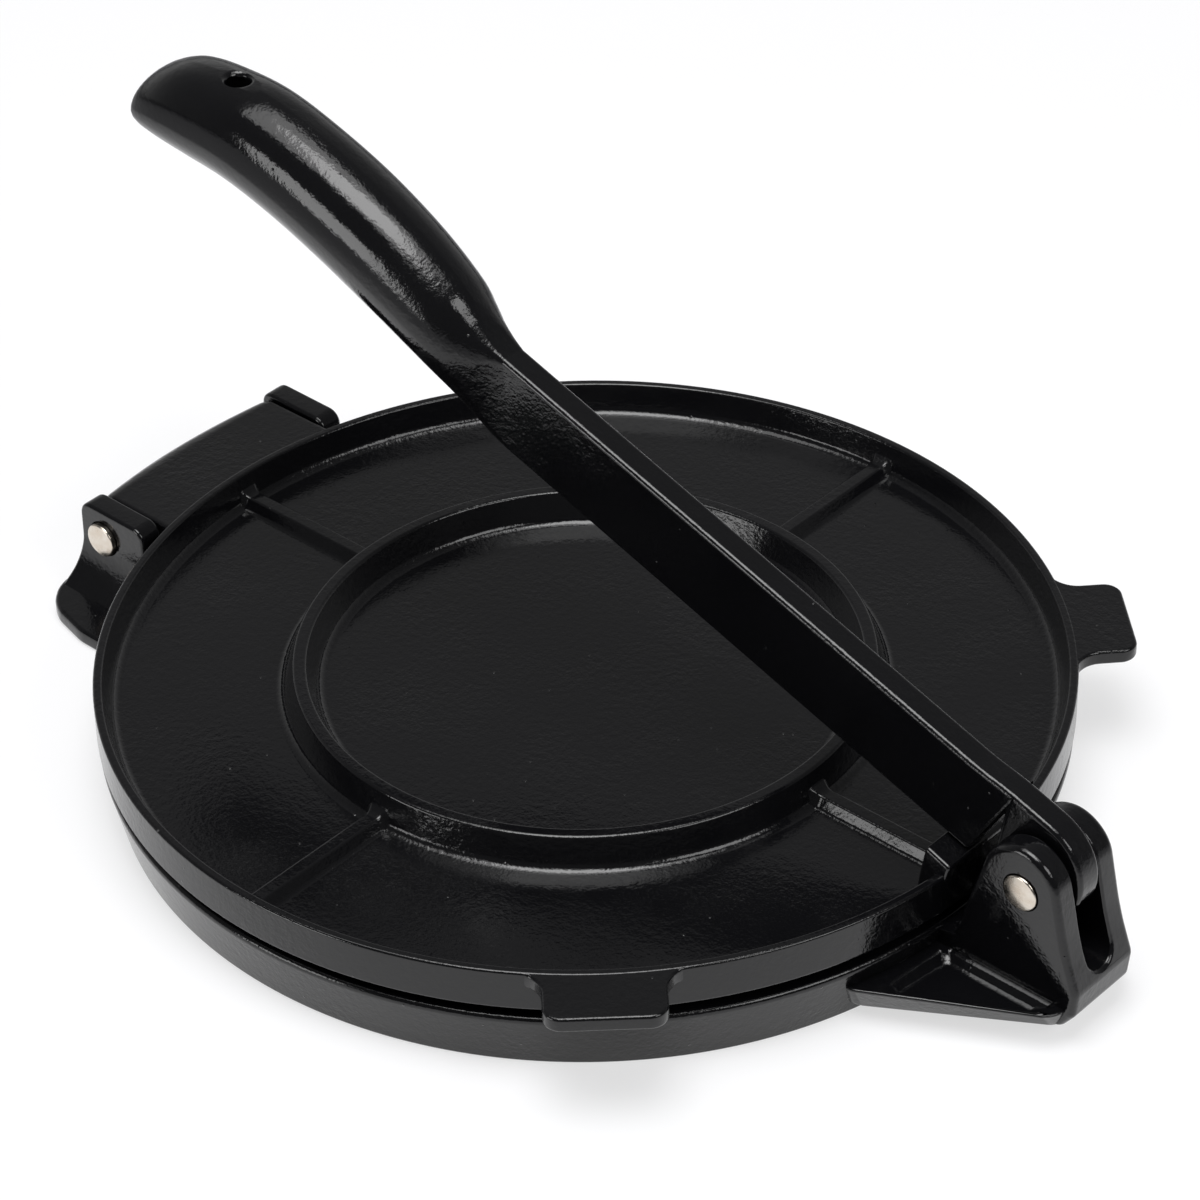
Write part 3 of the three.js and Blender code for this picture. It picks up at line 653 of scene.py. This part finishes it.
def footShape():
    inside = lowerPlate["radius"] - lowerPlate["draft"] - foot["inset"]

    def plan(rootWidth, tipReach, tipWidth):
        return [
            (inside, -rootWidth), (foot["rootReach"], -rootWidth, foot["corner"]),
            (tipReach, -tipWidth, foot["corner"]), (tipReach, tipWidth, foot["corner"]),
            (foot["rootReach"], rootWidth, foot["corner"]), (inside, rootWidth),
        ]

    wedge = draftedShape(
        plan(foot["rootWidth"] - foot["rootDraft"], clevis["bottom"], foot["tipWidth"] - foot["tipDraft"]),
        foot["bottom"], plan(foot["rootWidth"], foot["tipReach"], foot["tipWidth"]), foot["top"])
    slope = (pocket["rootWidth"] - pocket["tipWidth"]) / (pocket["tip"] - pocket["rootReach"])

    def pocketPlan(lean):
        return [
            (pocket["start"] + lean, pocket["side"] + lean, pocket["round"]),
            (pocket["tip"] - 2 * lean, pocket["side"] + lean, pocket["round"] / 2),
            (pocket["tip"] - 2 * lean, pocket["tipWidth"] + (2 * slope - pocket["leanIn"]) * lean,
             pocket["round"] / 2),
            (pocket["rootReach"] + lean, pocket["rootWidth"] - (slope + pocket["leanIn"]) * lean, pocket["round"]),
        ]

    cut = draftedShape(pocketPlan(pocket["lean"]), foot["top"] - pocket["depth"],
                       pocketPlan(-pocket["lean"] / pocket["depth"]), foot["top"] + fits["over"])
    bm = bmesh.new()
    bm.from_mesh(cut.data)
    low = [e for e in bm.edges if all(v.co.z < foot["top"] - pocket["depth"] + fits["near"] for v in e.verts)]
    bmesh.ops.bevel(bm, geom=low, offset=pocket["hollow"], offset_type="OFFSET", segments=4, profile=0.5,
                    affect="EDGES", clamp_overlap=True, material=-1)
    bm.to_mesh(cut.data)
    bm.free()
    combined(wedge, mirroredPair(cut), "DIFFERENCE")

    def outside(edge):
        return edge.is_convex and min(v.co.x for v in edge.verts) > inside + fits["over"]

    return rounded(wedge, foot["edge"], 40, 4, outside)


def makeLowerPlate():
    plate = basePlateShape()
    combined(plate, [*hingeShapes(), footShape(), clevisShape()])
    holes = [pinHole(-hinge["reach"], hinge["height"]), pinHole(lever["x"], lever["z"])]
    combined(plate, holes, "DIFFERENCE")
    return finished(plate, "base", "lower_plate", enamel)


# Lever: bar, pivot boss, heel and handle, drawn along the bar from the pin and then turned into place

lever = {"x": 121.9, "z": 32.5, "angle": 18.5, "thickness": 6.4, "top": 11.9, "bottom": 9.0}
bar = {
    "hump": 12.6, "humpTop": 14.0, "humpEnd": 21.0, "humpRound": 12.4, "humpFoot": 60.0, "boss": 9.4,
    "corner": 0.5, "heel": 16.0,
    "notch": (12.6, 6.6), "notchFoot": (11.0, -5.0), "edge": 1.1, "edgeSteps": 9, "edgeFrom": 40,
    # the boss's underside: where its cut meets the round, the round's corner, and its end
    "cut": (-3.97, -8.52), "under": (-0.57, -10.1), "underEnd": (2.98, -8.91),
}
handle = {
    "start": 152.5, "length": 106.0, "lean": 9.0, "leanEnd": 0.4, "rise": 10.6, "depth": 25.2, "width": 22.6,
    "boxy": 0.94, "keel": 0.34, "rings": 110, "roundest": 0.97,
    "hole": 236.8, "holeRadius": 2.6, "holeSteps": 48, "lip": 1.3, "lipSunk": 0.35, "lipReach": 4.0, "lipRise": 6.0,
    "slopeReach": 5.0, "crestReach": 1.2,
    "drill": (60.0, 1.5, 3.0),     # depths of the hole's two ends and of its lip's start
}
# along, rise, depth and width as shares of the handle's own, and how round: 0 as the bar, 1 all round
handleStations = [
    (0.0, 0.0, 0.829, 0.283, 0.0), (0.035, 0.06, 0.845, 0.39, 0.25), (0.075, 0.18, 0.87, 0.58, 0.7),
    (0.115, 0.34, 0.905, 0.76, 0.94), (0.165, 0.52, 0.945, 0.88, 0.97),
    (0.282, 0.78, 0.99, 0.96, 0.97), (0.43, 0.97, 1.0, 1.0, 0.97), (0.577, 1.02, 1.0, 1.0, 0.97),
    (0.715, 0.93, 0.99, 1.0, 0.97), (0.831, 0.64, 0.95, 0.97, 0.97), (0.9155, 0.36, 0.86, 0.92, 0.97),
    (0.968, 0.1, 0.68, 0.8, 0.97), (0.9915, -0.05, 0.46, 0.6, 0.97), (1.0, -0.12, 0.24, 0.34, 0.97),
]


def leverMatrix():
    angle = math.radians(lever["angle"])
    turn = Matrix(((-math.cos(angle), 0, math.sin(angle)), (0, -1, 0), (math.sin(angle), 0, math.cos(angle))))
    return Matrix.Translation((lever["x"], 0, lever["z"])) @ turn.to_4x4()


def stationAt(share):
    span = share * (len(handleStations) - 1)
    first = min(int(span), len(handleStations) - 2)
    t = span - first
    pick = [handleStations[min(max(first + k, 0), len(handleStations) - 1)] for k in (-1, 0, 1, 2)]
    return [0.5 * (2 * b + (c - a) * t + (2 * a - 5 * b + 4 * c - d) * t * t + (3 * b - a - 3 * c + d) * t ** 3)
            for a, b, c, d in zip(*pick)]


# How far the handle's lower side starts nearer to the pin than its top does
def leanAt(height):
    return handle["lean"] * (lever["top"] - height) / (lever["top"] + lever["bottom"])


def atHandle(vert):
    return vert.co.x + leanAt(vert.co.z) > handle["start"] - fits["near"]


def barShape():
    half = lever["thickness"] / 2
    piece = extrudedShape([
        (bar["heel"], -lever["bottom"]), (handle["start"] - handle["lean"], -lever["bottom"]),
        (handle["start"], lever["top"]), (bar["humpEnd"], lever["top"], bar["humpFoot"]),
        (bar["humpTop"], bar["hump"], bar["humpFoot"]), (-bar["boss"], bar["hump"], bar["humpRound"]),
        (-bar["boss"], -bar["corner"]), bar["cut"], (*bar["under"], bar["boss"] - fits["short"]), bar["underEnd"],
        bar["notchFoot"], bar["notch"],
    ], "side", -half, half, segments=12, name="leverCasting")
    bm = bmesh.new()
    bm.from_mesh(piece.data)
    sharp = [e for e in bm.edges if e.calc_face_angle(0) > math.radians(bar["edgeFrom"])
             and not all(atHandle(v) for v in e.verts)]
    bmesh.ops.bevel(bm, geom=sharp, offset=bar["edge"], offset_type="OFFSET", segments=bar["edgeSteps"],
                    profile=0.5, affect="EDGES", clamp_overlap=False, material=-1)
    return piece, bm


# The bar's open end is drawn out ring by ring, and its four rounded corners grow into the handle's oval
def drawHandle(bm):
    middle = (lever["top"] - lever["bottom"]) / 2
    halfWidth = lever["thickness"] / 2
    halfDepth = (lever["top"] + lever["bottom"]) / 2
    corner = bm.verts.layers.float_vector.new("corner")
    end = [f for f in bm.faces if all(atHandle(v) for v in f.verts)]
    ring = [v for v in bm.verts if atHandle(v)]
    edges = [e for e in bm.edges if all(atHandle(v) for v in e.verts)]
    for vert in ring:
        out, up = vert.co.y, vert.co.z - middle
        turn = math.atan2(max(abs(up) - halfDepth + bar["edge"], 0), max(abs(out) - halfWidth + bar["edge"], 0))
        vert[corner] = (math.copysign(1, out), math.copysign(1, up), turn)
    bmesh.ops.delete(bm, geom=end, context="FACES_ONLY")
    for number in range(1, handle["rings"] + 1):
        along, rise, depth, width, roundShare = stationAt(number / handle["rings"])
        wide, deep = handle["width"] / 2 * width, handle["depth"] / 2 * depth
        roundShare = min(max(roundShare, 0.0), handle["roundest"])
        cornerWide = wide * (bar["edge"] / halfWidth * (1 - roundShare) + roundShare)
        cornerDeep = deep * (bar["edge"] / halfDepth * (1 - roundShare) + roundShare)
        grown = bmesh.ops.extrude_edge_only(bm, edges=edges)["geom"]
        ring = [item for item in grown if isinstance(item, bmesh.types.BMVert)]
        known = set(ring)
        edges = [e for e in {e for v in ring for e in v.link_edges} if e.verts[0] in known and e.verts[1] in known]
        for vert in ring:
            side, above, turn = vert[corner]
            out = wide - cornerWide + cornerWide * max(math.cos(turn), 0.0) ** handle["boxy"]
            up = deep - cornerDeep + cornerDeep * max(math.sin(turn), 0.0) ** handle["boxy"]
            if above < 0:
                out *= 1 - handle["keel"] * roundShare * (up / deep) ** 2
            fade = max(0.0, 1 - along / handle["leanEnd"]) ** 2
            vert.co = (handle["start"] + handle["length"] * along - leanAt(middle + above * up) * fade, side * out,
                       middle + handle["rise"] * rise + above * up)
    bmesh.ops.contextual_create(bm, geom=edges)
    bm.verts.layers.float_vector.remove(corner)
    cleaned(bm)
    bmesh.ops.triangulate(bm, faces=[f for f in bm.faces if len(f.verts) > 4])
    return bm


def hangingHole(bm):
    def crestAt(along):
        return max(v.co.z for v in bm.verts if abs(v.co.x - along) < handle["crestReach"])

    at, reach = handle["hole"], handle["slopeReach"]
    slope = math.atan2(crestAt(at - reach) - crestAt(at + reach), 2 * reach)
    crest = crestAt(at) - handle["lipSunk"]
    radius, lip = handle["holeRadius"], handle["lip"]
    low, top, start = handle["drill"]
    drill = spunShape([(0, -low), (radius, -low), (radius, -top), (0, -top)], handle["holeSteps"])
    inner, outer = radius - fits["short"], radius + handle["lipReach"]
    flare = spunShape([(0, -start), (inner, -start), (inner, 0, lip), (outer, 0), (outer, handle["lipRise"]),
                       (0, handle["lipRise"])], handle["holeSteps"], segments=8)
    flare.data.transform(Matrix.Rotation(slope, 4, "Y"))
    drill = combined(drill, [flare])
    drill.data.transform(Matrix.Translation((at, 0, crest)))
    return drill


def makeLever():
    piece, bm = barShape()
    drawHandle(bm)
    drill = hangingHole(bm)
    bm.to_mesh(piece.data)
    bm.free()
    combined(piece, [drill], "DIFFERENCE")
    piece.data.transform(leverMatrix())
    combined(piece, [pinHole(lever["x"], lever["z"])], "DIFFERENCE")
    return finished(piece, "arm", "lever", enamel)


# Pins: plain rod, sheared and tumbled, so each end is a low dome with a soft rim

pin = {"radius": 4.0, "hingeLength": 66.4, "leverLength": 21.4, "dome": 0.45, "rim": 0.4, "domeSteps": 8, "steps": 96}


def makePin(name, node, x, z, length):
    radius, half = pin["radius"], length / 2
    steps = [(share / pin["domeSteps"] * radius, half - pin["dome"] * (share / pin["domeSteps"]) ** 2)
             for share in range(pin["domeSteps"] + 1)]
    right = [(out, up) for out, up in steps[:-1]] + [(radius, steps[-1][1], pin["rim"])]
    outline = right + [(corner[0], -corner[1], *corner[2:]) for corner in reversed(right)]
    rod = spunShape(outline, pin["steps"], segments=4, name=name)
    rod.data.transform(Matrix.Translation((x, 0, z)) @ Matrix.Rotation(math.pi / 2, 4, "X"))
    return finished(rod, "base", node, nickel)


makeLowerPlate()
makeUpperPlate()
makeLever()
makePin("hingePinRod", "hinge_pin", -hinge["reach"], hinge["height"], pin["hingeLength"])
makePin("leverPinRod", "lever_pin", lever["x"], lever["z"], pin["leverLength"])


# Studio: white table, a plain dim room, two soft boxes overhead and one at each side

studio = {
    "floor": "#a6a6a8",
    "whiteShare": 0.63,      # what the table shows as white to the camera and in gloss, beside its lit colour
    "glossNear": 0.16,       # m from the press's middle up to which gloss sees that white in full
    "glossFar": 0.34,        # and from where it sees only the lit colour
    "dim": 0.08,             # the room's light all round
    "horizon": 0.42,         # and what its lit side adds at the table's height
    "fadeTop": 0.8,          # height, as a share of straight up, at which that has faded
    "bright": (-0.67, 0.74, 0.0),    # the side of the room that is lit, behind the press
    "sideEdge": (-0.3, 0.8),         # from where to where, along that direction, the lit side comes in
    "middle": (0.0, 0.0, 0.03),      # m, what the soft boxes face
    "lamps": {               # azimuth and elevation, distance m, width m, height m, radiance
        "softBoxOverhead": (-100, 83, 1.5, 1.35, 1.25, 1.9),
        "softBoxMiddle": (-70, 80, 1.45, 0.70, 0.70, 4.2),
        "softBoxLeft": (-110, 5, 1.3, 0.50, 0.70, 3.2),
        "softBoxRight": (0, 41, 1.4, 0.66, 0.52, 3.2),
    },
}


def makeFloor():
    bm = bmesh.new()
    bmesh.ops.create_grid(bm, x_segments=1, y_segments=1, size=6.0)
    floor = asObject(bm, "whiteTable")
    material, tree = newMaterial("whiteTable")
    shader = addNode(tree, "ShaderNodeBsdfDiffuse", {"Color": linear(studio["floor"])})
    path = addNode(tree, "ShaderNodeLightPath")
    place = addNode(tree, "ShaderNodeTexCoord").outputs["Object"]
    reach = addNode(tree, "ShaderNodeVectorMath", {"operation": "LENGTH"}, {"Vector": place})
    near = addNode(tree, "ShaderNodeMapRange", {
        "interpolation_type": "SMOOTHSTEP", "From Min": studio["glossNear"], "From Max": studio["glossFar"],
        "To Min": 1.0, "To Max": 0.0,
    }, {"Value": reach.outputs["Value"]})
    seen = addNode(tree, "ShaderNodeMath", {"operation": "MULTIPLY"},
                   {0: path.outputs["Is Glossy Ray"], 1: near.outputs["Result"]})
    for ray in ("Is Camera Ray", "Is Transmission Ray"):
        seen = addNode(tree, "ShaderNodeMath", {"operation": "MAXIMUM"},
                       {0: seen.outputs["Value"], 1: path.outputs[ray]})
    share = addNode(tree, "ShaderNodeMath", {"operation": "MULTIPLY", 1: studio["whiteShare"]},
                    {0: seen.outputs["Value"]})
    glow = addNode(tree, "ShaderNodeEmission", {"Color": (1, 1, 1, 1)}, {"Strength": share.outputs["Value"]})
    both = addNode(tree, "ShaderNodeAddShader", None, {0: shader.outputs["BSDF"], 1: glow.outputs["Emission"]})
    addNode(tree, "ShaderNodeOutputMaterial", None, {"Surface": both.outputs["Shader"]})
    floor.data.materials.append(material)


def makeRoom():
    world = bpy.data.worlds.new("studio")
    world.use_nodes = True
    bpy.context.scene.world = world
    tree = world.node_tree
    tree.nodes.clear()
    sky = addNode(tree, "ShaderNodeTexCoord").outputs["Generated"]
    split = addNode(tree, "ShaderNodeSeparateXYZ", None, {"Vector": sky})
    towards = addNode(tree, "ShaderNodeVectorMath", {"operation": "DOT_PRODUCT", 1: studio["bright"]},
                      {"Vector": sky})
    side = addNode(tree, "ShaderNodeMapRange", {
        "interpolation_type": "SMOOTHSTEP", "From Min": studio["sideEdge"][0], "From Max": studio["sideEdge"][1],
        "To Min": 0.0, "To Max": 1.0,
    }, {"Value": towards.outputs["Value"]})
    low = addNode(tree, "ShaderNodeMapRange", {
        "interpolation_type": "SMOOTHSTEP", "From Min": 0.0, "From Max": studio["fadeTop"],
        "To Min": studio["horizon"], "To Max": studio["dim"],
    }, {"Value": split.outputs["Z"]})
    glow = addNode(tree, "ShaderNodeMath", {"operation": "MULTIPLY"},
                   {0: low.outputs["Result"], 1: side.outputs["Result"]})
    level = addNode(tree, "ShaderNodeMath", {"operation": "ADD", 1: studio["dim"]}, {0: glow.outputs["Value"]})
    light = addNode(tree, "ShaderNodeBackground", {"Color": (1, 1, 1, 1)}, {"Strength": level.outputs["Value"]})
    addNode(tree, "ShaderNodeOutputWorld", None, {"Surface": light.outputs["Background"]})


# A soft box's radiance is its power over four times its area
def makeLamps():
    middle = Vector(studio["middle"])
    for name, (azimuth, elevation, distance, width, height, radiance) in studio["lamps"].items():
        lamp = bpy.data.lights.new(name, "AREA")
        lamp.shape = "RECTANGLE"
        lamp.size, lamp.size_y, lamp.energy = width, height, 4 * radiance * width * height
        box = bpy.data.objects.new(name, lamp)
        bpy.context.collection.objects.link(box)
        a, e = math.radians(azimuth), math.radians(elevation)
        away = Vector((math.cos(a) * math.cos(e), math.sin(a) * math.cos(e), math.sin(e)))
        box.location = middle + away * distance
        box.rotation_euler = away.to_track_quat("Z", "Y").to_euler()
        box.visible_camera = False


# Camera: the photograph's viewing angle, for a square 1200 px frame
view = {
    "focal": 4500.0, "frame": 1200.0, "sensor": 36.0, "azimuth": 41.69, "elevation": 36.77, "roll": -0.52,
    "distance": 964.44, "target": (-8.57, 14.37, 26.31),
}


def makeCamera():
    a, e, r = (math.radians(view[key]) for key in ("azimuth", "elevation", "roll"))
    back = Vector((math.sin(a) * math.cos(e), -math.cos(a) * math.cos(e), math.sin(e)))
    right = Vector((math.cos(a), math.sin(a), 0))
    up = back.cross(right)
    right, up = right * math.cos(r) + up * math.sin(r), up * math.cos(r) - right * math.sin(r)
    data = bpy.data.cameras.new("camera")
    data.sensor_width = view["sensor"]
    data.lens = view["focal"] / view["frame"] * view["sensor"]
    camera = bpy.data.objects.new("camera", data)
    bpy.context.collection.objects.link(camera)
    target = Vector(view["target"]) * mm + Vector((plateX, 0, 0))
    camera.matrix_world = Matrix.Translation(target + back * view["distance"] * mm) @ Matrix(
        (right, up, back)).transposed().to_4x4()
    bpy.context.scene.camera = camera


makeFloor()
makeRoom()
makeLamps()
makeCamera()
bpy.context.scene.view_settings.view_transform = "Standard"
print("studio and camera ready")
